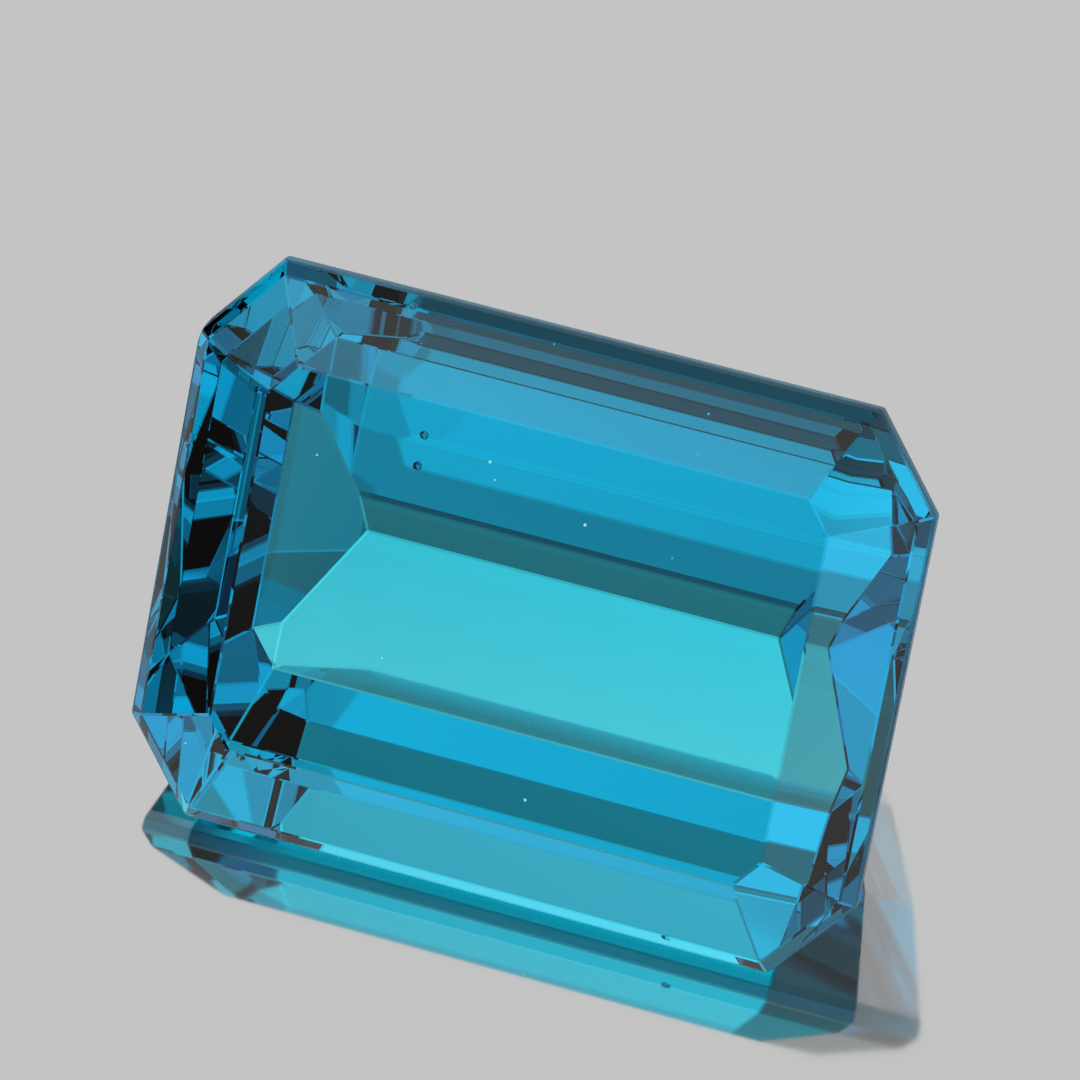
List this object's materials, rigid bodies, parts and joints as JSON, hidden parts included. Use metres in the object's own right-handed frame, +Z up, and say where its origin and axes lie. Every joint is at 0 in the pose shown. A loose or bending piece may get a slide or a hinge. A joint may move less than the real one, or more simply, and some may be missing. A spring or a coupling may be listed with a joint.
{
  "type": "faceted gemstone",
  "caption": "Loose clear blue topaz, octagonal step cut with a large table, lying on one side of its stepped pavilion.",
  "frame": {"origin": "on the ground, under the middle of the stone's bounding box", "axes": "+X along the stone's long axis and its keel, +Z up, the table facing -Y and upwards"},
  "size_m": [0.016, 0.0094, 0.0104],
  "materials": {
    "topaz": "polished flat facets on clear blue crystal"
  },
  "bodies": {
    "root": {"stone": "topaz"}
  },
  "joints": []
}
